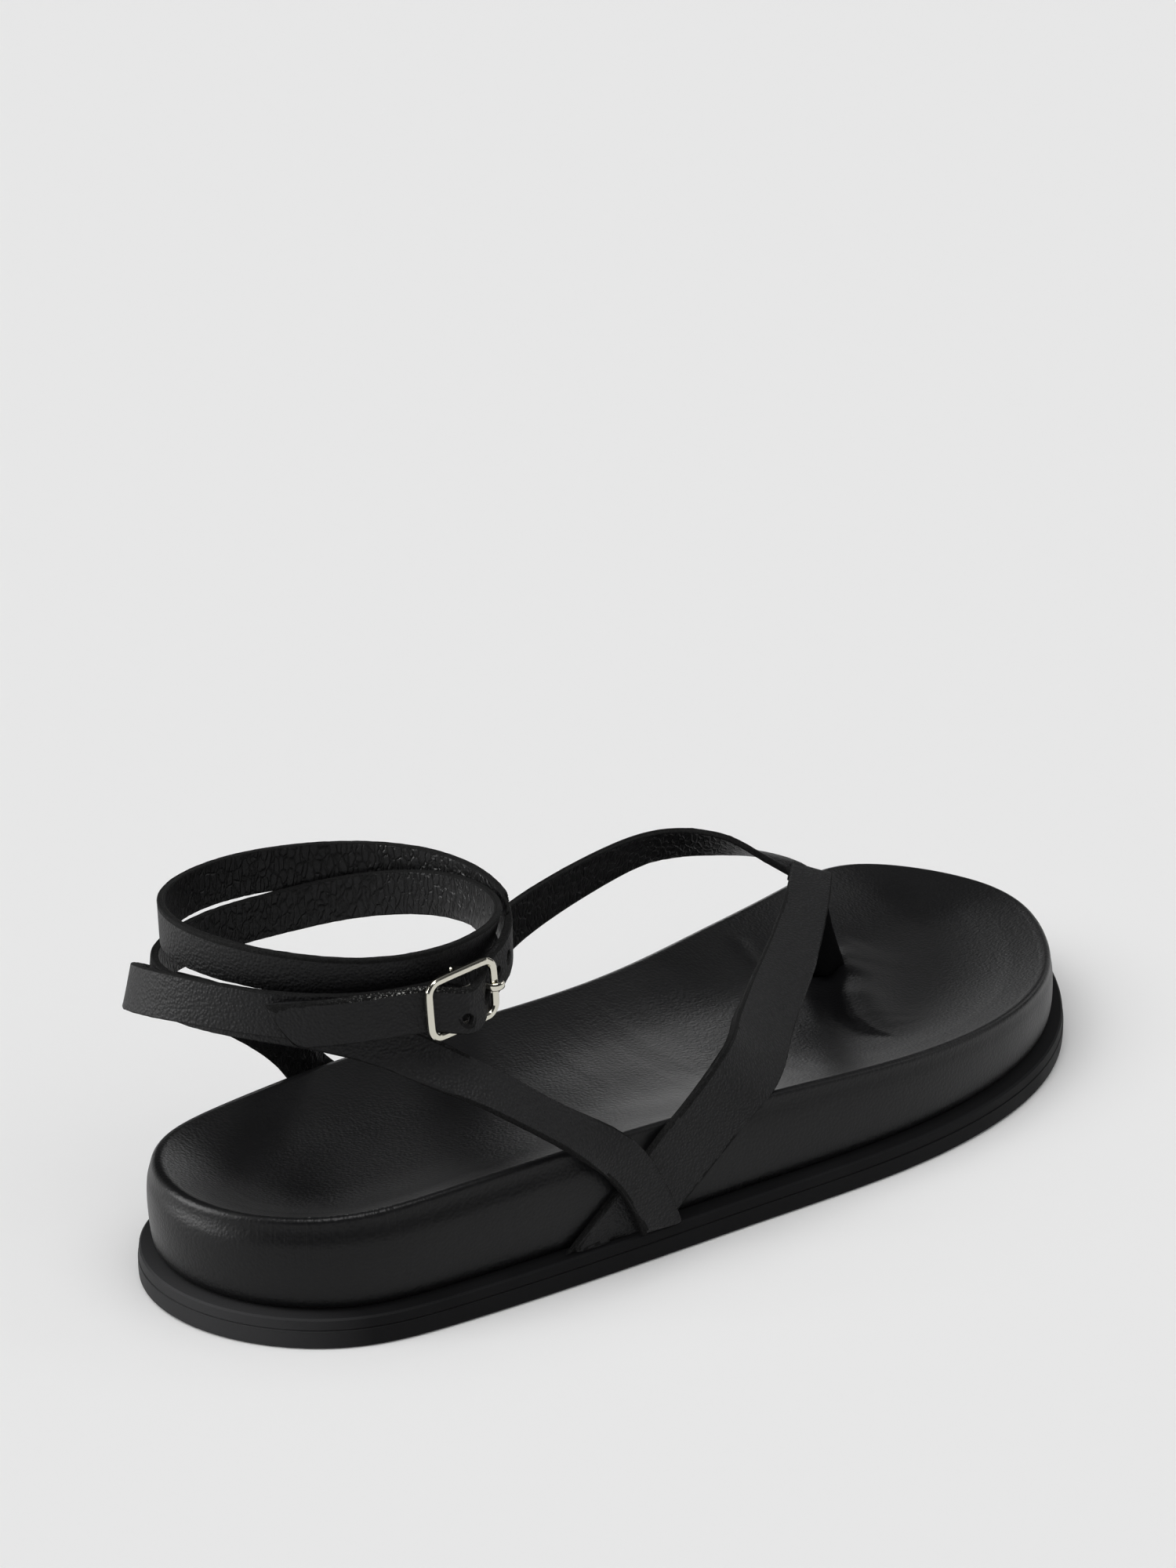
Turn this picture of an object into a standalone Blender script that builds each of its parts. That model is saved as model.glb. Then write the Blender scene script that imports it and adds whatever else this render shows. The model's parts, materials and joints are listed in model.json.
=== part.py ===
"""Right-foot platform sandal: rubber outsole, leather-wrapped platform, toe-post strap,
two-piece ankle strap wound twice round the ankle, and a centre-bar buckle.

Frame: +X to the toe, +Y to the inner (medial) side, +Z up, floor at Z = 0.
Tables and sizes are in millimetres; meshes are in metres.
"""
import math

import bmesh
import bpy
import numpy as np
from mathutils import Vector

# Driving sizes
MM = 0.001
GAP = 0.3                    # clearance between pieces that touch
WALL_GAP = 0.45              # between the curved wall and a strap of flat facets
HEEL_X = -134.0              # back of the outsole
HEEL_RADIUS = 39.0           # round heel end of the outsole
OUTSOLE_THICKNESS = 6.5
TOE_SPRING = 2.5             # rise of the tip
SPRING_START_X = 68.0        # the sole is flat on the floor behind this
SPRING_END_X = 134.0
RIM_INSET = 3.4              # outer side of the rim, in from the outsole's edge
RIM_RADIUS = 1.9             # soft edge between wall and footbed
RIM_ANGLES_DEG = (30.0, 60.0, 90.0, 115.0)
SEAT_INSETS = (9.5, 13.0, 18.0)
SEAT_RUN = 24.0              # how far from the rim the footbed keeps falling
SEAT_CURVE = 1.6
STRAP_WIDTH = 9.6
STRAP_THICKNESS = 1.6
STRAP_CHAMFER = 0.3
POST_SIZE = (5.6, 4.4)       # foot of the toe post, along X and Y
POST_TAPER = 0.4             # its top, as a share of its foot
POST_LEAN = (-2.6, 0.6)      # from its foot to its top
POST_FOOT = (63.0, 12.0)
POST_TOP = 41.6
NOSE_RADIUS = 1.9            # where the toe strap's end bends down
NOSE_DROP = 2.6
HOLE_RADIUS = 1.2
PUNCH_REACH = 2.0            # either way from the middle of the strap
TAIL_SLANT = 5.0             # how much longer the tail's upper edge is
ANKLE = (-87.0, 6.7)         # axis of the ankle loops, in plan
BUCKLE_CENTRE = (-86.3, -32.65, 66.0)
BUCKLE_TILT_DEG = 5.0
BUCKLE_SIZE = (18.4, 13.6)   # outside width and height of the frame
BUCKLE_CORNER = 2.6          # radius of the frame's centre line at a corner
BAR_WIDTH = 1.6
BAR_THICKNESS = 1.3
PIN_RADIUS = 0.7             # centre bar
PIN_DEPTH = 2.45             # centre bar, in from the frame's plane
PRONG_RADIUS = 0.5           # half its thickness
PRONG_HALF_WIDTH = 0.95
EYE_CLEARANCE = 0.15
FOLD_THICKNESS = 0.8         # strap end, thinned where it folds round the centre bar
FOLD_WIDTH = 9.0
FOLD_CLEARANCE = 0.2
FOLD_RETURN = 4.5
FOLD_LEAD = 2.6              # where the fold starts, before the centre bar
FOLD_DIP = 0.6
SLOT_HEIGHT = 2.6            # slot in the fold for the prong

# Mesh density
SIDE_POINTS = 44             # outline points on each side, heel to toe
RUNG_COLUMNS = 6
STRAP_STEP = 5.0
ROUND_SIDES = 10


def table(columns, *rows):
    """Rows of numbers with a name for each column."""
    return np.array(list(rows), dtype=[(name, float) for name in columns.split()])


# Outsole edge in plan on either side of the heel-to-toe line
SIDES = table(
    "x_lateral lateral x_medial medial",
    (-60.0, -43.0, -50.0, 40.6),
    (-15.0, -46.5, 5.0, 34.7),
    (30.0, -49.0, 45.0, 40.5),
    (65.0, -44.2, 80.0, 48.0),
    (95.0, -31.2, 110.0, 51.2),
    (118.4, -9.9, 132.3, 24.9))

# Height of the rim above the floor on each side, and depth of the footbed below it
RIM = table(
    "x lateral medial depth",
    (-134.0, 25.6, 25.6, 6.5),
    (-70.0, 28.8, 24.2, 6.4),
    (0.0, 26.4, 26.0, 4.6),
    (65.0, 21.9, 25.8, 6.6),
    (105.0, 20.3, 24.0, 5.8),
    (134.0, 19.6, 19.6, 4.8))

# Side of the outsole, from the tread edge up to the ledge
OUTSOLE_PROFILE = table(
    "inset height",
    (0.7, 0.0), (0.1, 0.5), (0.0, 1.2), (0.0, 3.9), (0.3, 4.05), (0.1, 4.3), (0.3, 6.1), (0.7, 6.5))

# Wall of the platform, as a share of the way up to the rim's round edge
WALL_PROFILE = table(
    "inset share",
    (4.2, 0.0), (3.4, 0.06), (3.0, 0.17), (2.9, 0.38), (3.1, 0.7), (3.5, 0.92), (3.4, 1.0))

# Ridge under the toes, from the post towards the little toe
RIDGE_HALF_WIDTH = 4.0
TOE_RIDGE = table(
    "x y height",
    (61.3, 5.4, 1.8), (54.0, -1.7, 2.2), (47.0, -11.7, 2.0), (44.8, -20.0, 1.2), (45.5, -27.5, 0.3))

# Straps where they lie on the wall: place along the shoe and height
LATERAL_TOE_WALL = table(
    "x height width",
    (-62.0, 0.0, 15.5), (-52.5, 7.8, 15.8), (-39.2, 17.9, 16.4), (-29.5, 25.4, 16.0))
MEDIAL_TOE_WALL = table(
    "x height width",
    (-58.0, 0.0, 13.0), (-50.0, 8.0, 12.5), (-42.0, 15.5, 12.0), (-33.0, 23.5, 11.5))
LATERAL_ANKLE_WALL = table(
    "x height width",
    (-39.6, -1.0, 9.8), (-43.4, 8.1, 9.8), (-48.5, 18.6, 9.6), (-53.9, 25.6, 9.6))
MEDIAL_ANKLE_WALL = table(
    "x height width",
    (-43.0, -1.0, 9.6), (-51.5, 8.0, 9.6), (-59.0, 15.5, 9.6), (-66.0, 22.0, 9.6))

# Toe strap from wall to junction; tilt turns its face from up to outwards
LATERAL_TOE_RUN = table(
    "x y height tilt width",
    (-20.2, -43.6, 32.6, 78.0, 15.8),
    (-9.3, -37.8, 35.4, 62.0, 14.4),
    (2.1, -29.3, 36.8, 48.0, 13.2),
    (23.9, -14.1, 38.8, 26.0, 11.9),
    (41.3, -1.0, 40.4, 16.0, 10.6),
    (53.4, 8.6, 42.3, 16.0, 9.8),
    (58.8, 13.4, 43.0, 16.0, 9.6))
MEDIAL_TOE_RUN = table(
    "x y height tilt width",
    (-16.0, 37.6, 39.0, 86.0, 11.3),
    (-4.0, 38.0, 43.6, 81.0, 11.0),
    (8.6, 38.3, 46.4, 77.0, 10.6),
    (20.4, 38.0, 48.6, 72.0, 10.2),
    (31.5, 36.8, 49.8, 67.0, 9.4),
    (39.5, 34.0, 49.5, 60.0, 8.8),
    (47.5, 29.6, 47.9, 44.0, 8.6),
    (53.5, 24.0, 45.6, 22.0, 8.8),
    (57.0, 18.0, 43.6, 12.0, 8.0),
    (58.6, 13.4, 41.6, 8.0, 6.0))

# Ankle straps round the ankle axis: turn 0 faces the toe and -90 the outer side,
# and lean tips the face upwards, as on a strap that flares towards its lower edge
LONG_RUN = table(
    "turn radius height lean",
    (-64.5, 54.2, 33.0, 18.0),
    (-73.0, 47.6, 40.0, 32.0),
    (-84.0, 40.4, 47.2, 34.0),
    (-95.0, 36.0, 52.0, 26.0),
    (-106.0, 34.2, 56.2, 14.0),
    (-120.0, 33.8, 60.0, 4.0),
    (-143.0, 33.9, 63.0, 0.0),
    (-165.0, 34.5, 63.4, 0.0),
    (-190.0, 36.0, 62.8, 4.0),
    (-213.0, 36.4, 61.8, 6.0),
    (-228.0, 35.4, 61.3, 4.0),
    (-245.0, 34.4, 60.9, 2.0),
    (-265.0, 33.9, 60.7, 0.0),
    (-290.0, 33.5, 61.4, 0.0),
    (-315.0, 33.1, 64.0, 0.0),
    (-335.0, 32.5, 66.3, 0.0),
    (-360.0, 32.1, 68.6, 0.0),
    (-390.0, 32.5, 70.2, 0.0),
    (-420.0, 33.4, 71.2, 0.0),
    (-450.0, 34.0, 71.6, 0.0),
    (-480.0, 34.0, 72.2, 0.0),
    (-510.0, 34.0, 73.8, 0.0),
    (-540.0, 34.0, 74.1, 0.0),
    (-570.0, 34.0, 73.2, 0.0),
    (-600.0, 34.2, 71.8, 0.0),
    (-630.0, 34.6, 71.0, 0.0),
    (-660.0, 35.0, 70.8, 0.0),
    (-690.0, 34.7, 71.4, 3.0),
    (-727.0, 34.3, 71.6, 6.0),
    (-750.0, 35.1, 70.4, 4.0),
    (-770.0, 36.3, 68.9, 0.0),
    (-785.0, 37.2, 67.7, 0.0),
    (-796.0, 38.0, 66.9, 0.0),
    (-809.0, 39.7, 66.1, 0.0),
    (-822.0, 38.0, 65.6, 0.0),
    (-840.0, 38.0, 65.4, 0.0),
    (-856.0, 38.0, 64.6, 0.0),
    (-865.0, 38.2, 64.0, 0.0))
SHORT_RUN = table(
    "turn radius height lean thickness",
    (65.0, 35.8, 28.8, 0.0, 1.6),
    (79.0, 33.2, 36.8, 2.0, 1.6),
    (96.0, 33.2, 43.8, 6.0, 1.6),
    (118.0, 36.6, 50.8, 10.0, 1.6),
    (134.0, 40.0, 56.4, 12.0, 1.6),
    (150.0, 41.0, 60.8, 14.0, 1.6),
    (165.0, 39.7, 63.4, 10.0, 1.6),
    (182.0, 37.6, 65.0, 5.0, 1.6),
    (198.0, 36.5, 65.5, 0.0, 1.6),
    (220.0, 36.0, 65.4, 0.0, 1.6),
    (240.0, 36.0, 65.2, 0.0, 1.6),
    (256.0, 36.0, 65.3, 0.0, 1.4),
    (262.0, 36.5, 65.6, 0.0, 1.0))
HOLES = table("turn height", (-779.5, 68.2), (-789.5, 67.3), (-799.5, 66.4), (-809.5, 64.6))

# Prong in the buckle's own plane, from its eye through the strap onto the end bar
PRONG_RUN = table(
    "along inwards",
    (1.35, 2.45), (3.2, 2.65), (4.9, 2.7), (5.9, 2.3), (6.4, 1.4), (6.8, 0.4),
    (7.15, -0.7), (7.9, -1.4), (9.1, -1.45), (9.9, -1.1))


def clear_scene():
    for item in list(bpy.data.objects):
        bpy.data.objects.remove(item, do_unlink=True)


def finish(name, colour, roughness, metallic):
    """A Principled material of one colour."""
    material = bpy.data.materials.new(name)
    material.use_nodes = True
    shader = material.node_tree.nodes["Principled BSDF"]
    shader.inputs["Base Color"].default_value = (*colour, 1.0)
    shader.inputs["Roughness"].default_value = roughness
    shader.inputs["Metallic"].default_value = metallic
    return material


# Curves

def cubic(knots, values, closed=False):
    """Smooth curve through values at the knots; a closed one repeats its first value last."""
    knots = np.asarray(knots, float)
    values = np.asarray(values, float).reshape(len(knots), -1)
    gaps = np.diff(knots)
    rises = np.diff(values, axis=0) / gaps[:, None]
    system = np.zeros((len(knots), len(knots)))
    right = np.zeros_like(values)
    for i in range(1, len(knots) - 1):
        before, after = 1.0 / gaps[i - 1], 1.0 / gaps[i]
        system[i, i - 1:i + 2] = before, 2.0 * (before + after), after
        right[i] = 3.0 * (rises[i - 1] * before + rises[i] * after)
    if closed:
        system[0, 0], system[0, -1] = 1.0, -1.0
        first, last = 1.0 / gaps[0], 1.0 / gaps[-1]
        system[-1, 0], system[-1, 1] = 2.0 * first, first
        system[-1, -1], system[-1, -2] = 2.0 * last, last
        right[-1] = 3.0 * (rises[0] * first + rises[-1] * last)
    else:
        system[0, :2] = 2.0, 1.0
        system[-1, -2:] = 1.0, 2.0
        right[0], right[-1] = 3.0 * rises[0], 3.0 * rises[-1]
    slopes = np.linalg.solve(system, right)

    def read(at):
        at = np.clip(np.atleast_1d(np.asarray(at, float)), knots[0], knots[-1])
        k = np.clip(np.searchsorted(knots, at, side="right") - 1, 0, len(gaps) - 1)
        width = gaps[k][:, None]
        u = ((at - knots[k]) / gaps[k])[:, None]
        start = (1.0 + 2.0 * u) * (1.0 - u) ** 2 * values[k] + u * (1.0 - u) ** 2 * width * slopes[k]
        end = u ** 2 * (3.0 - 2.0 * u) * values[k + 1] + u ** 2 * (u - 1.0) * width * slopes[k + 1]
        return start + end

    return read


def chords(points):
    """Running length along straight lines between points."""
    return np.concatenate([[0.0], np.cumsum(np.linalg.norm(np.diff(points, axis=0), axis=1))])


def even(points, count):
    """Points at equal spacing along a polyline, without its last point."""
    run = chords(points)
    at = np.linspace(0.0, run[-1], count + 1)[:-1]
    return np.stack([np.interp(at, run, points[:, axis]) for axis in range(points.shape[1])], axis=1)


# Outline and footbed

def outsole_outline():
    """Outline points and outward normals: heel back, outer side, toe tip, inner side."""
    def heel(degrees):
        angle = math.radians(degrees)
        return (HEEL_X + HEEL_RADIUS * (1.0 - math.cos(angle)), HEEL_RADIUS * math.sin(angle))

    around = [heel(angle) for angle in (0, -30, -60, -90)]
    around += list(zip(SIDES["x_lateral"], SIDES["lateral"]))
    around += list(zip(SIDES["x_medial"], SIDES["medial"]))[::-1]
    around += [heel(angle) for angle in (90, 60, 30, 0)]
    around = np.array(around)
    run = chords(around)
    dense = cubic(run, around, closed=True)(np.linspace(0.0, run[-1], 1201))
    toe = int(np.argmax(dense[:, 0]))
    points = np.vstack([even(dense[:toe + 1], SIDE_POINTS), even(dense[toe:], SIDE_POINTS)])
    along = np.roll(points, -1, axis=0) - np.roll(points, 1, axis=0)
    normals = np.stack([along[:, 1], -along[:, 0]], axis=1)
    return points, normals / np.linalg.norm(normals, axis=1)[:, None]


OUTLINE, OUTWARD = outsole_outline()
RIM_LATERAL = cubic(RIM["x"], RIM["lateral"])
RIM_MEDIAL = cubic(RIM["x"], RIM["medial"])
SEAT_DEPTH = cubic(RIM["x"], RIM["depth"])
RIM_INNER_INSET = RIM_INSET + RIM_RADIUS * (1.0 - math.cos(math.radians(RIM_ANGLES_DEG[-1])))
RIM_INNER_DROP = RIM_RADIUS * (1.0 - math.sin(math.radians(RIM_ANGLES_DEG[-1])))


def inset_ring(inset):
    return OUTLINE - OUTWARD * inset


def side_of(ring, lateral):
    """One side of a ring from heel to toe, in order of x."""
    if lateral:
        return ring[:SIDE_POINTS + 1]
    return np.vstack([ring[SIDE_POINTS:], ring[:1]])[::-1]


def spring(x):
    share = np.clip((x - SPRING_START_X) / (SPRING_END_X - SPRING_START_X), 0.0, None)
    return TOE_SPRING * share ** 2


def rim_height(x, y):
    """Rim height, blended across the shoe from the outer to the inner side."""
    outer = side_of(OUTLINE, True)
    inner = side_of(OUTLINE, False)
    low = np.interp(x, outer[:, 0], outer[:, 1])
    high = np.interp(x, inner[:, 0], inner[:, 1])
    share = np.clip((y - low) / np.maximum(high - low, 1.0), 0.0, 1.0)
    share = share ** 2 * (3.0 - 2.0 * share)
    return RIM_LATERAL(x)[:, 0] * (1.0 - share) + RIM_MEDIAL(x)[:, 0] * share


def toe_ridge(x, y):
    """Soft ridge along the toes' crease."""
    knots = np.stack([TOE_RIDGE["x"], TOE_RIDGE["y"], TOE_RIDGE["height"]], axis=1)
    crest = cubic(chords(knots[:, :2]), knots)(np.linspace(0.0, chords(knots[:, :2])[-1], 40))
    away = np.hypot(x[:, None] - crest[None, :, 0], y[:, None] - crest[None, :, 1])
    nearest = away.argmin(axis=1)
    return crest[nearest, 2] * np.exp(-(away.min(axis=1) / RIDGE_HALF_WIDTH) ** 2)


def footbed(x, y):
    """Height of the footbed: a dish that falls from the rim, with the toe ridge."""
    edge = np.hypot(x[:, None] - OUTLINE[None, :, 0], y[:, None] - OUTLINE[None, :, 1]).min(axis=1)
    inside = np.clip((edge - RIM_INNER_INSET) / SEAT_RUN, 0.0, 1.0)
    dish = 1.0 - (1.0 - inside) ** SEAT_CURVE
    floor = rim_height(x, y) - RIM_INNER_DROP - SEAT_DEPTH(x)[:, 0] * dish
    return floor + toe_ridge(x, y)


def wall_base(x):
    return OUTSOLE_THICKNESS + GAP + spring(x)


# Meshes

def solid(name, vertices, faces, material):
    """A named object from millimetre vertices, with its faces pointing out."""
    mesh = bpy.data.meshes.new(name)
    mesh.from_pydata([tuple(v * MM for v in vertex) for vertex in vertices], [], faces)
    edit = bmesh.new()
    edit.from_mesh(mesh)
    bmesh.ops.recalc_face_normals(edit, faces=edit.faces)
    edit.to_mesh(mesh)
    edit.free()
    mesh.materials.append(material)
    mesh.shade_smooth()
    mesh.set_sharp_from_angle(angle=math.radians(40.0))
    item = bpy.data.objects.new(name, mesh)
    bpy.context.scene.collection.objects.link(item)
    return item


def ring_faces(lower, upper, count):
    """Quads between two rings of vertices that start at the given numbers."""
    return [(lower + i, lower + (i + 1) % count, upper + (i + 1) % count, upper + i) for i in range(count)]


def ladder(rungs, upwards):
    """Faces between neighbouring rungs; a tip repeats one vertex."""
    faces = []
    for near, far in zip(rungs[:-1], rungs[1:]):
        for j in range(len(near) - 1):
            corners = list(dict.fromkeys([near[j], far[j], far[j + 1], near[j + 1]]))
            faces.append(tuple(corners if upwards else corners[::-1]))
    return faces


def plain_rungs(first):
    """Rungs straight across a ring, from the heel back to the toe tip."""
    count = 2 * SIDE_POINTS
    rungs = [[first, first]]
    rungs += [[first + i, first + count - i] for i in range(1, SIDE_POINTS)]
    return rungs + [[first + SIDE_POINTS, first + SIDE_POINTS]]


def stack_of_rings(rings):
    """Vertices and side faces of rings laid one above the other."""
    count = 2 * SIDE_POINTS
    vertices = [tuple(vertex) for ring in rings for vertex in ring]
    faces = []
    for level in range(len(rings) - 1):
        faces += ring_faces(level * count, (level + 1) * count, count)
    return vertices, faces


def build_outsole(material):
    rings = []
    for row in OUTSOLE_PROFILE:
        ring = inset_ring(row["inset"])
        rings.append(np.column_stack([ring, row["height"] + spring(ring[:, 0])]))
    vertices, faces = stack_of_rings(rings)
    top = (len(rings) - 1) * 2 * SIDE_POINTS
    faces += ladder(plain_rungs(0), False) + ladder(plain_rungs(top), True)
    return solid("outsole", vertices, faces, material)


def build_platform(material):
    rings = []
    for row in WALL_PROFILE:
        ring = inset_ring(row["inset"])
        base = wall_base(ring[:, 0])
        edge = rim_height(ring[:, 0], ring[:, 1]) - RIM_RADIUS
        rings.append(np.column_stack([ring, base + (edge - base) * row["share"]]))
    for degrees in RIM_ANGLES_DEG:
        angle = math.radians(degrees)
        ring = inset_ring(RIM_INSET + RIM_RADIUS * (1.0 - math.cos(angle)))
        drop = RIM_RADIUS * (1.0 - math.sin(angle))
        rings.append(np.column_stack([ring, rim_height(ring[:, 0], ring[:, 1]) - drop]))
    for inset in SEAT_INSETS:
        ring = inset_ring(inset)
        rings.append(np.column_stack([ring, footbed(ring[:, 0], ring[:, 1])]))
    vertices, faces = stack_of_rings(rings)
    faces += ladder(plain_rungs(0), False)
    inner = (len(rings) - 1) * 2 * SIDE_POINTS
    rungs = []
    for start, end in plain_rungs(inner):
        rung = [start]
        if start != end:
            shares = np.linspace(0.0, 1.0, RUNG_COLUMNS + 1)[1:-1]
            a, b = np.array(vertices[start]), np.array(vertices[end])
            across = a[None, :2] + (b - a)[None, :2] * shares[:, None]
            heights = footbed(across[:, 0], across[:, 1])
            rung += range(len(vertices), len(vertices) + len(shares))
            vertices += [(x, y, z) for (x, y), z in zip(across, heights)]
        else:
            rung += [start] * (RUNG_COLUMNS - 1)
        rungs.append(rung + [end])
    faces += ladder(rungs, True)
    return solid("platform", vertices, faces, material)


# Straps: rows of centre, facing direction, width and thickness

def wall_rows(places, lateral, layer):
    """Rows of a strap that lies on the wall, or on the strap below it."""
    rows = []
    for place in places:
        x = np.array([place["x"]])
        outer = side_of(OUTLINE, lateral)
        y = np.array([np.interp(place["x"], outer[:, 0], outer[:, 1])])
        base = wall_base(x)[0]
        edge = rim_height(x, y)[0] - RIM_RADIUS
        share = (place["height"] - base) / (edge - base)
        inset = min(np.interp(share, WALL_PROFILE["share"], WALL_PROFILE["inset"]), RIM_INSET - 0.2)
        wall = side_of(inset_ring(inset), lateral)
        normals = side_of(OUTWARD, lateral)
        facing = np.array([np.interp(place["x"], wall[:, 0], normals[:, axis]) for axis in (0, 1)])
        offset = WALL_GAP + 0.5 * STRAP_THICKNESS + layer * (STRAP_THICKNESS + WALL_GAP)
        centre = np.array([place["x"], np.interp(place["x"], wall[:, 0], wall[:, 1])]) + facing * offset
        rows.append((*centre, place["height"], *facing, 0.0, place["width"], STRAP_THICKNESS))
    return rows


def run_rows(places, outwards):
    """Rows of the toe strap between the wall and the junction."""
    rows = []
    for place in places:
        tilt = math.radians(place["tilt"])
        facing = (0.0, outwards * math.sin(tilt), math.cos(tilt))
        rows.append((place["x"], place["y"], place["height"], *facing, place["width"], STRAP_THICKNESS))
    return rows


def nose_rows(before, last):
    """Rows where the toe strap's end bends down over the other branch."""
    upward = np.array(last[3:6])
    forward = np.array(last[:3]) - np.array(before[:3])
    forward = forward - upward * (forward @ upward)
    forward = forward / np.linalg.norm(forward)
    centre = np.array(last[:3]) - upward * NOSE_RADIUS
    rows = []
    for degrees in (30, 60, 90):
        angle = math.radians(degrees)
        facing = forward * math.sin(angle) + upward * math.cos(angle)
        rows.append((*(centre + facing * NOSE_RADIUS), *facing, last[6], STRAP_THICKNESS))
    end = np.array(rows[-1][:3]) - upward * NOSE_DROP
    rows.append((*end, *forward, last[6], STRAP_THICKNESS))
    return rows


def loop_rows(places):
    """Rows of a strap that goes round the ankle."""
    rows = []
    for place in places:
        turn, lean = math.radians(place["turn"]), math.radians(place["lean"])
        out = np.array([math.cos(turn), math.sin(turn)])
        centre = np.array(ANKLE) + out * place["radius"]
        thickness = place["thickness"] if "thickness" in places.dtype.names else STRAP_THICKNESS
        facing = out * math.cos(lean)
        rows.append((*centre, place["height"], *facing, math.sin(lean), STRAP_WIDTH, thickness))
    return rows


def fold_rows():
    """Rows of the short strap's end as it folds round the centre bar and back underneath."""
    tilt = math.radians(BUCKLE_TILT_DEG)
    along = np.array([math.cos(tilt), 0.0, math.sin(tilt)])
    inwards = np.array([0.0, 1.0, 0.0])
    pin = np.array(BUCKLE_CENTRE) + inwards * PIN_DEPTH
    radius = PIN_RADIUS + FOLD_CLEARANCE + 0.5 * FOLD_THICKNESS
    rows = []

    def add(point, facing):
        rows.append((*point, *facing, FOLD_WIDTH, FOLD_THICKNESS))

    add(pin - along * FOLD_LEAD - inwards * (radius - FOLD_DIP), -inwards)
    for degrees in (90, 60, 30, 0, -30, -60, -90):
        angle = math.radians(degrees)
        facing = along * math.cos(angle) - inwards * math.sin(angle)
        add(pin + facing * radius, facing)
    add(pin - along * 0.5 * FOLD_RETURN + inwards * radius, inwards)
    add(pin - along * FOLD_RETURN + inwards * radius, inwards)
    return rows


def sweep(name, rows, material, end_slant=0.0):
    """A strap with chamfered edges along a smooth path through the rows; a slant cuts its end on the bias."""
    rows = np.array(rows, float)
    knots = chords(rows[:, :3])
    read = cubic(knots, rows)
    stops = [0.0]
    for start, end in zip(knots[:-1], knots[1:]):
        parts = max(1, round((end - start) / STRAP_STEP))
        stops += list(np.linspace(start, end, parts + 1)[1:])
    stops = np.array(stops)
    sections = read(stops)
    nudge = 0.05
    along = read(stops + nudge)[:, :3] - read(stops - nudge)[:, :3]
    slants = np.zeros(len(stops))
    slants[-1] = end_slant
    vertices = []
    for section, forward, slant in zip(sections, along, slants):
        forward = forward / np.linalg.norm(forward)
        across = np.cross(forward, section[3:6])
        across = across / np.linalg.norm(across)
        facing = np.cross(across, forward)
        half_width, half_thickness = 0.5 * section[6], 0.5 * section[7]
        chamfer = min(STRAP_CHAMFER, 0.6 * half_thickness)
        for side, face in chamfered(half_width, half_thickness, chamfer):
            lead = 0.5 * slant * side / half_width
            vertices.append(tuple(section[:3] + across * side + facing * face + forward * lead))
    corners = 8
    faces = [tuple(range(corners)), tuple(range(len(vertices) - corners, len(vertices)))]
    for level in range(len(sections) - 1):
        faces += ring_faces(level * corners, (level + 1) * corners, corners)
    return solid(name, vertices, faces, material)


def chamfered(half_width, half_height, chamfer):
    """Corners of a rectangle with cut corners, in order round it."""
    near_w, near_h = half_width - chamfer, half_height - chamfer
    below = [(-half_width, -near_h), (-near_w, -half_height), (near_w, -half_height), (half_width, -near_h)]
    return below + [(-side, -face) for side, face in below]


def cut_at_ledge(item):
    """End a strap flat, just above the outsole's ledge."""
    edit = bmesh.new()
    edit.from_mesh(item.data)
    bmesh.ops.bisect_plane(
        edit, geom=edit.verts[:] + edit.edges[:] + edit.faces[:], dist=1e-7,
        plane_co=(0.0, 0.0, (OUTSOLE_THICKNESS + GAP) * MM), plane_no=(0.0, 0.0, -1.0), clear_outer=True)
    bmesh.ops.holes_fill(edit, edges=[edge for edge in edit.edges if edge.is_boundary], sides=0)
    bmesh.ops.recalc_face_normals(edit, faces=edit.faces)
    edit.to_mesh(item.data)
    edit.free()


def combine(item, tool, operation):
    """Join a tool to an item, or cut it away, and hide the tool."""
    modifier = item.modifiers.new(f"{operation.lower()}_{tool.name}", "BOOLEAN")
    modifier.operation = operation
    modifier.solver = "EXACT"
    modifier.object = tool
    tool.hide_render = True
    tool.display_type = "WIRE"
    tool.parent = item


def rod(name, points, radius, sides, material, half_height=None):
    """A round bar along a polyline, or an oval one of another half height."""
    half_height = half_height or radius
    points = np.array(points, float)
    along = np.gradient(points, axis=0)
    vertices = []
    for point, forward in zip(points, along):
        forward = forward / np.linalg.norm(forward)
        hint = np.array([0.0, 0.0, 1.0]) if abs(forward[2]) < 0.7 else np.array([1.0, 0.0, 0.0])
        across = np.cross(forward, hint)
        across = across / np.linalg.norm(across)
        upward = np.cross(across, forward)
        for k in range(sides):
            angle = 2.0 * math.pi * k / sides
            offset = across * radius * math.cos(angle) + upward * half_height * math.sin(angle)
            vertices.append(tuple(point + offset))
    faces = [tuple(range(sides)), tuple(range(len(vertices) - sides, len(vertices)))]
    for level in range(len(points) - 1):
        faces += ring_faces(level * sides, (level + 1) * sides, sides)
    return solid(name, vertices, faces, material)


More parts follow.
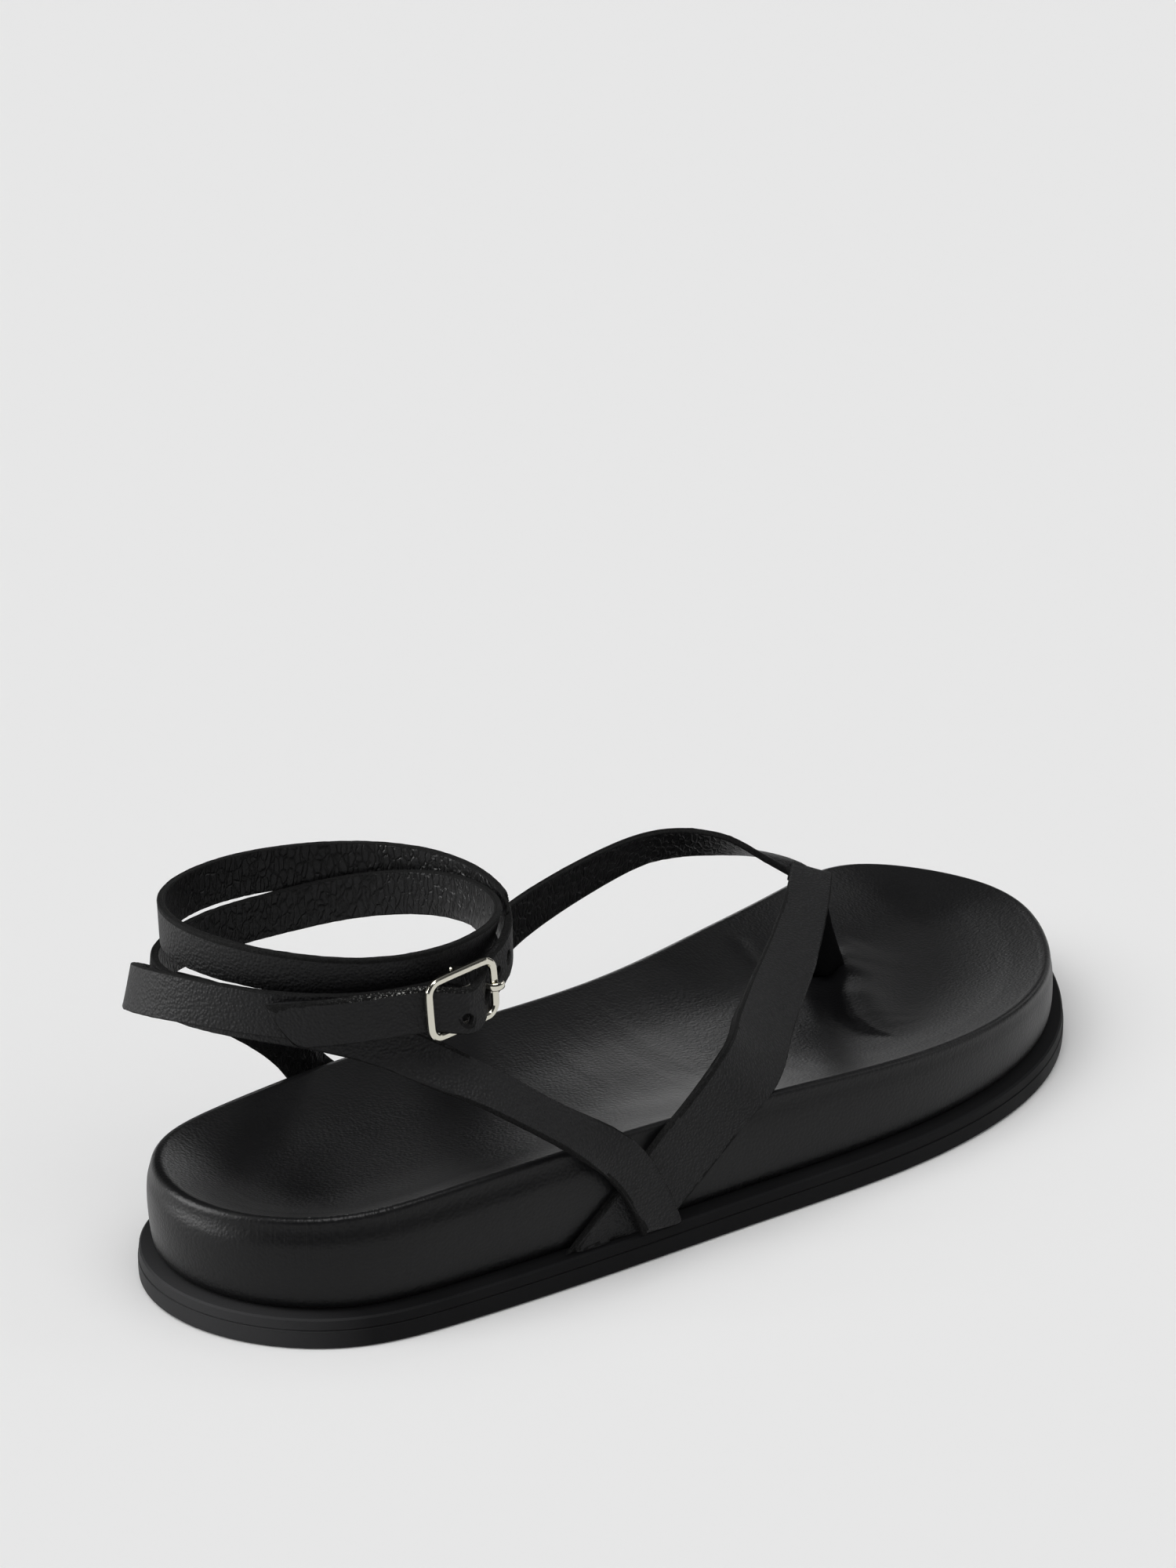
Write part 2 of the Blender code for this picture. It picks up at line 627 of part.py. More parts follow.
def build_toe_strap(material):
    lateral = wall_rows(LATERAL_TOE_WALL, True, 0) + run_rows(LATERAL_TOE_RUN, -1.0)
    lateral += nose_rows(lateral[-2], lateral[-1])
    medial = wall_rows(MEDIAL_TOE_WALL, False, 0) + run_rows(MEDIAL_TOE_RUN, 1.0)
    strap = sweep("toe_strap", lateral, material)
    branch = sweep("toe_strap_inner_branch", medial, material)
    for item in (strap, branch):
        cut_at_ledge(item)
    x, y = POST_FOOT
    foot = footbed(np.array([x]), np.array([y]))[0] + 2.0 * GAP
    half_x, half_y = 0.5 * POST_SIZE[0], 0.5 * POST_SIZE[1]
    levels = np.linspace(foot, POST_TOP, 4)
    vertices = []
    for z, share in zip(levels, np.linspace(0.0, 1.0, len(levels))):
        scale = 1.0 - share * (1.0 - POST_TAPER)
        middle_x, middle_y = x + share * POST_LEAN[0], y + share * POST_LEAN[1]
        section = chamfered(half_x * scale, half_y * scale, 0.4 * half_y * scale)
        vertices += [(middle_x + a, middle_y + b, z) for a, b in section]
    faces = [tuple(range(8)), tuple(range(len(vertices) - 8, len(vertices)))]
    for level in range(len(levels) - 1):
        faces += ring_faces(level * 8, (level + 1) * 8, 8)
    post = solid("toe_post", vertices, faces, material)
    combine(strap, branch, "UNION")
    combine(strap, post, "UNION")
    return strap


def build_long_strap(material):
    rows = wall_rows(LATERAL_ANKLE_WALL, True, 1) + loop_rows(LONG_RUN)
    strap = sweep("ankle_strap_long", rows, material, TAIL_SLANT)
    cut_at_ledge(strap)
    for number, hole in enumerate(HOLES):
        turn = math.radians(hole["turn"])
        out = np.array([math.cos(turn), math.sin(turn), 0.0])
        radius = np.interp(-hole["turn"], -LONG_RUN["turn"], LONG_RUN["radius"])
        centre = np.array([*ANKLE, hole["height"]]) + out * radius
        ends = [centre - out * PUNCH_REACH, centre + out * PUNCH_REACH]
        punch = rod(f"hole_{number}", ends, HOLE_RADIUS, ROUND_SIDES, material)
        combine(strap, punch, "DIFFERENCE")
    return strap


def build_short_strap(material):
    rows = wall_rows(MEDIAL_ANKLE_WALL, False, 1) + loop_rows(SHORT_RUN) + fold_rows()
    strap = sweep("ankle_strap_short", rows, material)
    cut_at_ledge(strap)
    reach = PIN_RADIUS + FOLD_CLEARANCE + FOLD_THICKNESS + 1.0
    centre = np.array(BUCKLE_CENTRE) + np.array([0.0, PIN_DEPTH, 0.0])
    half = np.array([reach, reach, 0.5 * SLOT_HEIGHT])
    signs = [(x, y, z) for z in (-1, 1) for x, y in ((-1, -1), (1, -1), (1, 1), (-1, 1))]
    faces = [(0, 3, 2, 1), (4, 5, 6, 7), (0, 1, 5, 4), (1, 2, 6, 5), (2, 3, 7, 6), (3, 0, 4, 7)]
    slot = solid("prong_slot", [tuple(half * sign) for sign in signs], faces, material)
    place(slot, centre)
    combine(strap, slot, "DIFFERENCE")
    slot.parent = None
    return strap


# Buckle, in its own plane: X along the strap, Y inwards, Z along the centre bar

def place(item, point):
    """Put a buckle piece at a point, turned by the buckle's tilt."""
    item.location = Vector(point) * MM
    item.rotation_euler = (0.0, -math.radians(BUCKLE_TILT_DEG), 0.0)


def frame_path():
    """Centre line of the frame and its outward direction, round the rectangle."""
    half_x = 0.5 * (BUCKLE_SIZE[0] - BAR_WIDTH)
    half_z = 0.5 * (BUCKLE_SIZE[1] - BAR_WIDTH)
    stations = []
    for quarter, (sign_x, sign_z) in enumerate(((1, 1), (-1, 1), (-1, -1), (1, -1))):
        centre = np.array([sign_x * (half_x - BUCKLE_CORNER), sign_z * (half_z - BUCKLE_CORNER)])
        for step in range(6):
            angle = math.radians(90.0 * quarter + 18.0 * step)
            out = np.array([math.cos(angle), math.sin(angle)])
            stations.append((centre + BUCKLE_CORNER * out, out))
    return stations


def build_buckle(material):
    vertices = []
    stations = frame_path()
    for centre, out in stations:
        for side, face in chamfered(0.5 * BAR_WIDTH, 0.5 * BAR_THICKNESS, 0.35):
            x, z = centre + out * side
            vertices.append((x, face, z))
    faces = []
    for level in range(len(stations)):
        faces += ring_faces(level * 8, ((level + 1) % len(stations)) * 8, 8)
    frame = solid("buckle_frame", vertices, faces, material)
    place(frame, BUCKLE_CENTRE)
    top = 0.5 * (BUCKLE_SIZE[1] - BAR_WIDTH)
    bend = PIN_DEPTH - 0.7
    upper = [(0.0, 0.0, top), (0.0, bend, top)]
    upper += [(0.0, PIN_DEPTH - 0.2, top - 0.2), (0.0, PIN_DEPTH, top - 0.7)]
    lower = [(x, y, -z) for x, y, z in reversed(upper)]
    pin = rod("centre_bar", upper + lower, PIN_RADIUS, ROUND_SIDES, material)
    place(pin, BUCKLE_CENTRE)
    combine(frame, pin, "UNION")
    pin.parent = None
    return frame


def build_prong(material):
    path = np.stack([PRONG_RUN["along"], PRONG_RUN["inwards"], np.zeros(len(PRONG_RUN))], axis=1)
    prong = rod("buckle_prong", path, PRONG_RADIUS, 8, material, PRONG_HALF_WIDTH)
    place(prong, BUCKLE_CENTRE)
    eye_radius = PIN_RADIUS + EYE_CLEARANCE + PRONG_RADIUS
    around = np.linspace(0.0, 2.0 * math.pi, 17)[:-1]
    vertices = []
    for angle in around:
        for k in range(8):
            section = 2.0 * math.pi * k / 8
            radius = eye_radius + PRONG_RADIUS * math.cos(section)
            height = PRONG_HALF_WIDTH * math.sin(section)
            vertices.append((radius * math.cos(angle), PIN_DEPTH + radius * math.sin(angle), height))
    faces = []
    for level in range(len(around)):
        faces += ring_faces(level * 8, ((level + 1) % len(around)) * 8, 8)
    eye = solid("prong_eye", vertices, faces, material)
    place(eye, BUCKLE_CENTRE)
    combine(prong, eye, "UNION")
    eye.parent = None
    return prong


def main():
    clear_scene()
    rubber = finish("moulded_rubber", (0.012, 0.012, 0.012), 0.55, 0.0)
    wrap = finish("wrap_leather", (0.010, 0.010, 0.011), 0.42, 0.0)
    strap = finish("strap_leather", (0.012, 0.012, 0.012), 0.5, 0.0)
    nickel = finish("polished_nickel", (0.75, 0.75, 0.73), 0.12, 1.0)
    pieces = [
        build_outsole(rubber),
        build_platform(wrap),
        build_toe_strap(strap),
        build_long_strap(strap),
        build_short_strap(strap),
        build_buckle(nickel),
        build_prong(nickel)]
    sandal = bpy.data.objects.new("sandal", None)
    bpy.context.scene.collection.objects.link(sandal)
    for piece in pieces:
        piece.parent = sandal


main()
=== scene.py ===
import bpy
import json
import math
import numpy as np
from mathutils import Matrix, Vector, kdtree, noise

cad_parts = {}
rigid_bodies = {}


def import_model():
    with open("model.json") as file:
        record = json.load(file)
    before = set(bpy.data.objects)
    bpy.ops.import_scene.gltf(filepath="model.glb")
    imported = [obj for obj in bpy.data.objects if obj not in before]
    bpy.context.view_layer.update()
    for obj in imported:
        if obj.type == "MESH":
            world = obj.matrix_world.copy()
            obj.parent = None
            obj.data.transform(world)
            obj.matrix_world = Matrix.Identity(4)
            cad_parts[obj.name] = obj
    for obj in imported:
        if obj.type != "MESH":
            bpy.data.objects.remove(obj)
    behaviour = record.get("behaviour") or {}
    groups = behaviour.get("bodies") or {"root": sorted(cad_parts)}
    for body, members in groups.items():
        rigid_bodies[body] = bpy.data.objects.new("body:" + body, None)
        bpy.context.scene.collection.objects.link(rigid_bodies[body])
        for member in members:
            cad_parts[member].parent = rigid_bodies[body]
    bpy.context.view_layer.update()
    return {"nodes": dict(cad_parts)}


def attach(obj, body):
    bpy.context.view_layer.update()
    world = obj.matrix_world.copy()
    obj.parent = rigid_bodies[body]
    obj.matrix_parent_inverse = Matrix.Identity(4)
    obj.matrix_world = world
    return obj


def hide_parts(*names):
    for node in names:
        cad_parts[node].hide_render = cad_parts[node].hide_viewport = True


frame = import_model()
mm = 0.001


# small helpers

def toLinear(hexColour):
    values = [int(hexColour[i:i + 2], 16) / 255 for i in (1, 3, 5)]
    return tuple(v / 12.92 if v <= 0.04045 else ((v + 0.055) / 1.055) ** 2.4 for v in values) + (1.0,)


def addNode(tree, kind, settings=None, links=None):
    node = tree.nodes.new(kind)
    for name, value in (settings or {}).items():
        if isinstance(name, int) or name in node.inputs:
            node.inputs[name].default_value = value
        else:
            setattr(node, name, value)
    for name, source in (links or {}).items():
        tree.links.new(source, node.inputs[name])
    return node


def newMaterial(name, shaderSettings):
    material = bpy.data.materials.new(name)
    material.use_nodes = True
    tree = material.node_tree
    tree.nodes.clear()
    shader = addNode(tree, "ShaderNodeBsdfPrincipled", shaderSettings)
    addNode(tree, "ShaderNodeOutputMaterial", {}, {"Surface": shader.outputs[0]})
    return material, tree, shader


def pickOnly(piece):
    for other in bpy.context.view_layer.objects:
        other.select_set(False)
    piece.select_set(True)
    bpy.context.view_layer.objects.active = piece


def copyNode(nodeName, pieceName):
    piece = bpy.data.objects.new(pieceName, frame["nodes"][nodeName].data.copy())
    bpy.context.scene.collection.objects.link(piece)
    piece.data.materials.clear()
    pickOnly(piece)
    bpy.ops.mesh.customdata_custom_splitnormals_clear()
    bpy.ops.object.mode_set(mode="EDIT")
    bpy.ops.mesh.select_mode(type="FACE")
    bpy.ops.mesh.select_all(action="SELECT")
    bpy.ops.mesh.remove_doubles(threshold=1e-6)
    bpy.ops.mesh.tris_convert_to_quads(face_threshold=math.pi, shape_threshold=math.pi)
    bpy.ops.mesh.select_all(action="DESELECT")
    bpy.ops.object.mode_set(mode="OBJECT")
    return piece


def insetFaces(piece, picks, steps, even):
    # picks says for each face whether it is inset; each step has a width and a depth in millimetres
    pickOnly(piece)
    mesh = piece.data
    mesh.vertices.foreach_set("select", np.zeros(len(mesh.vertices), bool))
    mesh.edges.foreach_set("select", np.zeros(len(mesh.edges), bool))
    mesh.polygons.foreach_set("select", np.array(picks, bool))
    bpy.ops.object.mode_set(mode="EDIT")
    bpy.ops.mesh.select_mode(type="FACE")
    for thickness, depth in steps:
        bpy.ops.mesh.inset(thickness=thickness * mm, depth=depth * mm, use_even_offset=even)
    bpy.ops.mesh.select_all(action="DESELECT")
    bpy.ops.object.mode_set(mode="OBJECT")


def useModifier(piece, kind, **settings):
    pickOnly(piece)
    modifier = piece.modifiers.new(kind.title(), kind)
    for name, value in settings.items():
        setattr(modifier, name, value)
    bpy.ops.object.modifier_apply(modifier=modifier.name)


def smoothOut(piece, levels):
    useModifier(piece, "SUBSURF", levels=levels, render_levels=levels)
    piece.data.polygons.foreach_set("use_smooth", np.ones(len(piece.data.polygons), bool))


def creaseEdges(piece, degrees, strength):
    # marks every edge that folds by more than these degrees
    mesh = piece.data
    folds = {}
    for face in mesh.polygons:
        for key in face.edge_keys:
            folds.setdefault(key, []).append(face.normal)
    limit = math.cos(math.radians(degrees))
    layer = mesh.attributes.new("crease_edge", "FLOAT", "EDGE")
    for edge in mesh.edges:
        sides = folds[edge.key]
        if len(sides) == 2 and sides[0].dot(sides[1]) < limit:
            layer.data[edge.index].value = strength


def readPoints(piece):
    points = np.zeros(len(piece.data.vertices) * 3, np.float32)
    piece.data.vertices.foreach_get("co", points)
    return points.reshape(-1, 3).astype(float) / mm


def readNormals(piece):
    normals = np.zeros(len(piece.data.vertices) * 3, np.float32)
    piece.data.vertex_normals.foreach_get("vector", normals)
    return normals.reshape(-1, 3).astype(float)


def writePoints(piece, points):
    piece.data.vertices.foreach_set("co", (points * mm).astype(np.float32).ravel())
    piece.data.update()


def addMask(piece, name, values):
    layer = piece.data.attributes.new(name, "FLOAT", "POINT")
    layer.data.foreach_set("value", np.asarray(values, np.float32))


def wobble(points, size, seed):
    # smooth noise from -1 to 1, with bumps about size millimetres across
    shift = Vector((seed * 17.3, seed * 5.1, seed * 9.7))
    return np.array([noise.noise(Vector(p) / size + shift) for p in points])


def hump(distance, halfWidth):
    return np.exp(-(distance / halfWidth) ** 2)


def fade(values, start, width):
    # rises from 0 to 1 over this width
    return np.clip((values - start) / width, 0.0, 1.0)


def alongLine(points, knots):
    # distance in plan from a line of knots (x, y, height), its height there, and the side from -1 to 1
    best = np.full(len(points), 1e9)
    height = np.zeros(len(points))
    side = np.zeros(len(points))
    for a, b in zip(np.array(knots[:-1], float), np.array(knots[1:], float)):
        run = b[:2] - a[:2]
        share = np.clip(((points[:, :2] - a[:2]) @ run) / (run @ run), 0.0, 1.0)
        offset = points[:, :2] - (a[:2] + share[:, None] * run)
        away = np.hypot(offset[:, 0], offset[:, 1])
        nearer = away < best
        best = np.where(nearer, away, best)
        height = np.where(nearer, a[2] + (b[2] - a[2]) * share, height)
        across = (run[0] * offset[:, 1] - run[1] * offset[:, 0]) / math.hypot(*run)
        side = np.where(nearer, across / np.maximum(away, 1e-6), side)
    return best, height, side


# materials

def leatherGrain(tree, coords, pebble, fine, pebbleDepth, fineDepth):
    # raised pebbles with fine pores, as two bumps one on the other; sizes in millimetres
    cells = addNode(tree, "ShaderNodeTexVoronoi", {"feature": "SMOOTH_F1", "Scale": 1000 / pebble, "Smoothness": 0.6},
                    {"Vector": coords})
    pores = addNode(tree, "ShaderNodeTexNoise", {"Scale": 1000 / fine, "Detail": 3.0, "Roughness": 0.6},
                    {"Vector": coords})
    first = addNode(tree, "ShaderNodeBump", {"invert": True, "Strength": 1.0, "Distance": pebbleDepth * mm},
                    {"Height": cells.outputs["Distance"]})
    second = addNode(tree, "ShaderNodeBump", {"Strength": 1.0, "Distance": fineDepth * mm},
                     {"Height": pores.outputs[0], "Normal": first.outputs[0]})
    return cells, second


wrapLook = {
    "colour": "#0d0d0e", "worn": "#121213",
    "pebble": 0.7, "pore": 0.3,            # grain sizes in millimetres
    "pebbleDepth": 0.055, "poreDepth": 0.025,
    "wrinkle": 1.1, "wrinkleDepth": 0.38, "patch": 22,
    "roughness": (0.34, 0.42),
    "specular": (0.21, 0.16, 0.115, 0.075, 0.04, 0.015)}   # less gloss in steps from the open leather to the bottom of the toe's fold, as painted shade there


def makeWrapLeather(name, specular):
    # corrected-grain calf pulled tight over the sole: near-black, fine pores, a soft satin gloss
    material, tree, shader = newMaterial(name, {"IOR": 1.5, "Specular IOR Level": specular})
    coords = addNode(tree, "ShaderNodeTexCoord").outputs["Object"]
    cells, grain = leatherGrain(tree, coords, wrapLook["pebble"], wrapLook["pore"],
                                wrapLook["pebbleDepth"], wrapLook["poreDepth"])
    # stretched wrinkles round the heel and gathers at the foot of the wall
    around = addNode(tree, "ShaderNodeAttribute", {"attribute_name": "around"})
    height = addNode(tree, "ShaderNodeSeparateXYZ", {}, {"Vector": coords})
    lowHeight = addNode(tree, "ShaderNodeMath", {"operation": "MULTIPLY", 1: 0.1}, {0: height.outputs["Z"]})
    strip = addNode(tree, "ShaderNodeCombineXYZ", {}, {"X": around.outputs["Fac"], "Y": lowHeight.outputs[0]})
    lines = addNode(tree, "ShaderNodeTexNoise", {"Scale": 1000 / wrapLook["wrinkle"], "Detail": 2.0, "Distortion": 0.5},
                    {"Vector": strip.outputs[0]})
    wrinkle = addNode(tree, "ShaderNodeAttribute", {"attribute_name": "wrinkle"})
    lineDepth = addNode(tree, "ShaderNodeMath", {"operation": "MULTIPLY"},
                        {0: lines.outputs[0], 1: wrinkle.outputs["Fac"]})
    creased = addNode(tree, "ShaderNodeBump", {"Strength": 1.0, "Distance": wrapLook["wrinkleDepth"] * mm},
                      {"Height": lineDepth.outputs[0], "Normal": grain.outputs[0]})
    patches = addNode(tree, "ShaderNodeTexNoise", {"Scale": 1000 / wrapLook["patch"], "Detail": 3.0},
                      {"Vector": coords})
    low, high = wrapLook["roughness"]
    gloss = addNode(tree, "ShaderNodeMapRange", {"From Min": 0.3, "From Max": 0.7, "To Min": low, "To Max": high},
                    {"Value": patches.outputs[0]})
    tone = addNode(tree, "ShaderNodeMix", {"data_type": "RGBA", 6: toLinear(wrapLook["colour"]),
                                           7: toLinear(wrapLook["worn"])}, {0: patches.outputs[0]})
    tree.links.new(tone.outputs[2], shader.inputs["Base Color"])
    tree.links.new(gloss.outputs[0], shader.inputs["Roughness"])
    tree.links.new(creased.outputs[0], shader.inputs["Normal"])
    return material


strapLook = {
    "grain": "#0f0f10", "grainWorn": "#151516",
    "flesh": "#040404", "fleshFibre": "#141415",
    "edge": "#060606", "edgeFibre": "#1c1c1c", "edgeTip": "#c4c4c0",
    "pebble": 0.62, "pore": 0.25, "pebbleDepth": 0.2, "poreDepth": 0.04, "patch": 12,   # outside, in millimetres
    "plate": 1.3, "plateDepth": 0.14, "nap": 0.5, "napDepth": 0.12,                     # lining
    "bend": 2.5, "bendReach": 1.2,
    "fibre": 0.45, "fibreDepth": 0.3,                                                   # raw edge
    "roughness": (0.46, 0.58)}


def makeStrapGrain():
    # milled full-grain side: small round pebbles that each catch the light
    material, tree, shader = newMaterial("pebbled strap leather", {
        "IOR": 1.5, "Specular IOR Level": 0.24})
    coords = addNode(tree, "ShaderNodeTexCoord").outputs["Object"]
    cells, grain = leatherGrain(tree, coords, strapLook["pebble"], strapLook["pore"],
                                strapLook["pebbleDepth"], strapLook["poreDepth"])
    patches = addNode(tree, "ShaderNodeTexNoise", {"Scale": 1000 / strapLook["patch"], "Detail": 3.0},
                      {"Vector": coords})
    low, high = strapLook["roughness"]
    tone = addNode(tree, "ShaderNodeMix", {"data_type": "RGBA", 6: toLinear(strapLook["grain"]),
                                           7: toLinear(strapLook["grainWorn"])}, {0: patches.outputs[0]})
    gloss = addNode(tree, "ShaderNodeMapRange", {"From Min": 0.0, "From Max": 0.6, "To Min": low, "To Max": high},
                    {"Value": cells.outputs["Distance"]})
    tree.links.new(tone.outputs[2], shader.inputs["Base Color"])
    tree.links.new(gloss.outputs[0], shader.inputs["Roughness"])
    tree.links.new(grain.outputs[0], shader.inputs["Normal"])
    return material


def makeStrapFlesh():
    # lined inner side: dull, creased across the strap where it bends
    material, tree, shader = newMaterial("creased strap lining", {
        "IOR": 1.5, "Specular IOR Level": 0.36})
    coords = addNode(tree, "ShaderNodeTexCoord").outputs["Object"]
    upright = addNode(tree, "ShaderNodeMapping", {"Scale": (1.0, 1.0, 0.4)}, {"Vector": coords})
    bend = addNode(tree, "ShaderNodeTexNoise", {"Scale": 1000 / strapLook["bend"], "Detail": 2.0},
                   {"Vector": coords})
    pull = addNode(tree, "ShaderNodeVectorMath", {"operation": "SCALE", "Scale": strapLook["bendReach"] * mm},
                   {0: bend.outputs["Color"]})
    wavy = addNode(tree, "ShaderNodeVectorMath", {"operation": "ADD"},
                   {0: upright.outputs[0], 1: pull.outputs[0]})
    lines = addNode(tree, "ShaderNodeTexVoronoi", {"feature": "DISTANCE_TO_EDGE", "Scale": 1000 / strapLook["plate"]},
                    {"Vector": wavy.outputs[0]})
    plates = addNode(tree, "ShaderNodeMapRange", {"From Min": 0.0, "From Max": 0.16},
                     {"Value": lines.outputs["Distance"]})
    pores = addNode(tree, "ShaderNodeTexNoise", {"Scale": 1000 / strapLook["nap"], "Detail": 3.0},
                    {"Vector": coords})
    creases = addNode(tree, "ShaderNodeBump", {"Strength": 1.0, "Distance": strapLook["plateDepth"] * mm},
                      {"Height": plates.outputs[0]})
    nap = addNode(tree, "ShaderNodeBump", {"Strength": 1.0, "Distance": strapLook["napDepth"] * mm},
                  {"Height": pores.outputs[0], "Normal": creases.outputs[0]})
    tone = addNode(tree, "ShaderNodeMix", {"data_type": "RGBA", 6: toLinear(strapLook["flesh"]),
                                           7: toLinear(strapLook["fleshFibre"])}, {0: plates.outputs[0]})
    shader.inputs["Roughness"].default_value = 0.42
    tree.links.new(tone.outputs[2], shader.inputs["Base Color"])
    tree.links.new(nap.outputs[0], shader.inputs["Normal"])
    return material


def makeStrapEdge():
    # raw cut edge: dark matt fibres with a few pale ends
    material, tree, shader = newMaterial("raw cut leather edge", {
        "IOR": 1.45, "Specular IOR Level": 0.2, "Roughness": 0.85})
    coords = addNode(tree, "ShaderNodeTexCoord").outputs["Object"]
    fibres = addNode(tree, "ShaderNodeTexNoise", {"Scale": 1000 / strapLook["fibre"], "Detail": 4.0, "Roughness": 0.7},
                     {"Vector": coords})
    lumps = addNode(tree, "ShaderNodeBump", {"Strength": 1.0, "Distance": strapLook["fibreDepth"] * mm},
                    {"Height": fibres.outputs[0]})
    ends = addNode(tree, "ShaderNodeMapRange", {"From Min": 0.42, "From Max": 0.68}, {"Value": fibres.outputs[0]})
    tone = addNode(tree, "ShaderNodeMix", {"data_type": "RGBA", 6: toLinear(strapLook["edge"]),
                                           7: toLinear(strapLook["edgeFibre"])}, {0: ends.outputs[0]})
    tips = addNode(tree, "ShaderNodeMapRange", {"From Min": 0.55, "From Max": 0.66}, {"Value": fibres.outputs[0]})
    frayed = addNode(tree, "ShaderNodeAttribute", {"attribute_name": "frayed"})
    share = addNode(tree, "ShaderNodeMath", {"operation": "MULTIPLY"}, {0: tips.outputs[0], 1: frayed.outputs["Fac"]})
    paler = addNode(tree, "ShaderNodeMix", {"data_type": "RGBA", 7: toLinear(strapLook["edgeTip"])},
                    {0: share.outputs[0], 6: tone.outputs[2]})
    tree.links.new(paler.outputs[2], shader.inputs["Base Color"])
    tree.links.new(lumps.outputs[0], shader.inputs["Normal"])
    return material


suedeLook = {"colour": "#0a0a0b", "nap": 0.4, "napDepth": 0.25}


def makePostSuede():
    # black suede wrapped round the toe post: swallows nearly all light
    material, tree, shader = newMaterial("black suede", {
        "Base Color": toLinear(suedeLook["colour"]), "Roughness": 0.95, "IOR": 1.4, "Specular IOR Level": 0.1})
    coords = addNode(tree, "ShaderNodeTexCoord").outputs["Object"]
    nap = addNode(tree, "ShaderNodeTexNoise", {"Scale": 1000 / suedeLook["nap"], "Detail": 4.0, "Roughness": 0.7},
                  {"Vector": coords})
    fuzz = addNode(tree, "ShaderNodeBump", {"Strength": 1.0, "Distance": suedeLook["napDepth"] * mm},
                   {"Height": nap.outputs[0]})
    tree.links.new(fuzz.outputs[0], shader.inputs["Normal"])
    return material


rubberLook = {
    # the pale grey here is painted light on the heel end of the sole
    "colour": "#121213", "bloom": "#1c1c1d", "heelLight": "#3a3a3b",
    "bloomSize": 14, "skin": 0.6, "skinDepth": 0.02,   # millimetres
    "heelLightFrom": -112, "heelLightFull": -134,                # places along the shoe where the painted light on the heel end starts and is full
    "roughness": (0.46, 0.58)}


def makeRubber():
    # moulded black rubber: an even grey bloom, low gloss and faint mould texture; paler at the heel end as painted
    # light
    material, tree, shader = newMaterial("moulded sole rubber", {
        "IOR": 1.5, "Specular IOR Level": 0.05})
    coords = addNode(tree, "ShaderNodeTexCoord").outputs["Object"]
    bloom = addNode(tree, "ShaderNodeTexNoise", {"Scale": 1000 / rubberLook["bloomSize"], "Detail": 5.0,
                                                 "Roughness": 0.65}, {"Vector": coords})
    skin = addNode(tree, "ShaderNodeTexNoise", {"Scale": 1000 / rubberLook["skin"], "Detail": 2.0},
                   {"Vector": coords})
    tone = addNode(tree, "ShaderNodeMix", {"data_type": "RGBA", 6: toLinear(rubberLook["colour"]),
                                           7: toLinear(rubberLook["bloom"])}, {0: bloom.outputs[0]})
    # paler towards the heel: painted light from the left
    along = addNode(tree, "ShaderNodeSeparateXYZ", {}, {"Vector": coords})
    atHeel = addNode(tree, "ShaderNodeMapRange", {"From Min": rubberLook["heelLightFrom"] * mm,
                                                  "From Max": rubberLook["heelLightFull"] * mm},
                     {"Value": along.outputs["X"]})
    heelLit = addNode(tree, "ShaderNodeMix", {"data_type": "RGBA", 7: toLinear(rubberLook["heelLight"])},
                    {0: atHeel.outputs[0], 6: tone.outputs[2]})
    low, high = rubberLook["roughness"]
    gloss = addNode(tree, "ShaderNodeMapRange", {"From Min": 0.3, "From Max": 0.7, "To Min": low, "To Max": high},
                    {"Value": bloom.outputs[0]})
    ripple = addNode(tree, "ShaderNodeBump", {"Strength": 1.0, "Distance": rubberLook["skinDepth"] * mm},
                     {"Height": skin.outputs[0]})
    tree.links.new(heelLit.outputs[2], shader.inputs["Base Color"])
    tree.links.new(gloss.outputs[0], shader.inputs["Roughness"])
    tree.links.new(ripple.outputs[0], shader.inputs["Normal"])
    return material


nickelLook = {"colour": "#d8d5c8", "haze": 3.0, "roughness": (0.06, 0.2)}


def makeNickel():
    # polished nickel plate: bright warm-grey mirror with a trace of handling haze
    material, tree, shader = newMaterial("polished nickel plate", {
        "Metallic": 1.0, "Base Color": toLinear(nickelLook["colour"])})
    coords = addNode(tree, "ShaderNodeTexCoord").outputs["Object"]
    haze = addNode(tree, "ShaderNodeTexNoise", {"Scale": 1000 / nickelLook["haze"], "Detail": 3.0},
                   {"Vector": coords})
    low, high = nickelLook["roughness"]
    gloss = addNode(tree, "ShaderNodeMapRange", {"To Min": low, "To Max": high}, {"Value": haze.outputs[0]})
    tree.links.new(gloss.outputs[0], shader.inputs["Roughness"])
    return material


# copies of one leather with less gloss in steps: painted shade deep in the toe's fold
wrapLeathers = [makeWrapLeather(f"calf leather painted shade step {number}", specular)
                for number, specular in enumerate(wrapLook["specular"])]
strapGrain = makeStrapGrain()
strapFlesh = makeStrapFlesh()
strapEdge = makeStrapEdge()
postSuede = makePostSuede()
rubber = makeRubber()
nickel = makeNickel()
print("materials made")


# outsole

outsoleForm = {
    "flat": 0.9, "flatArea": 20.0,           # faces taken as flat: upright part of the normal, square millimetres
    "insets": [(0.6, 0.0), (6.0, 0.0)],      # width and depth
    "hardEdge": 18.0, "smoothUnder": 24.0,   # degrees
    "levels": 2}


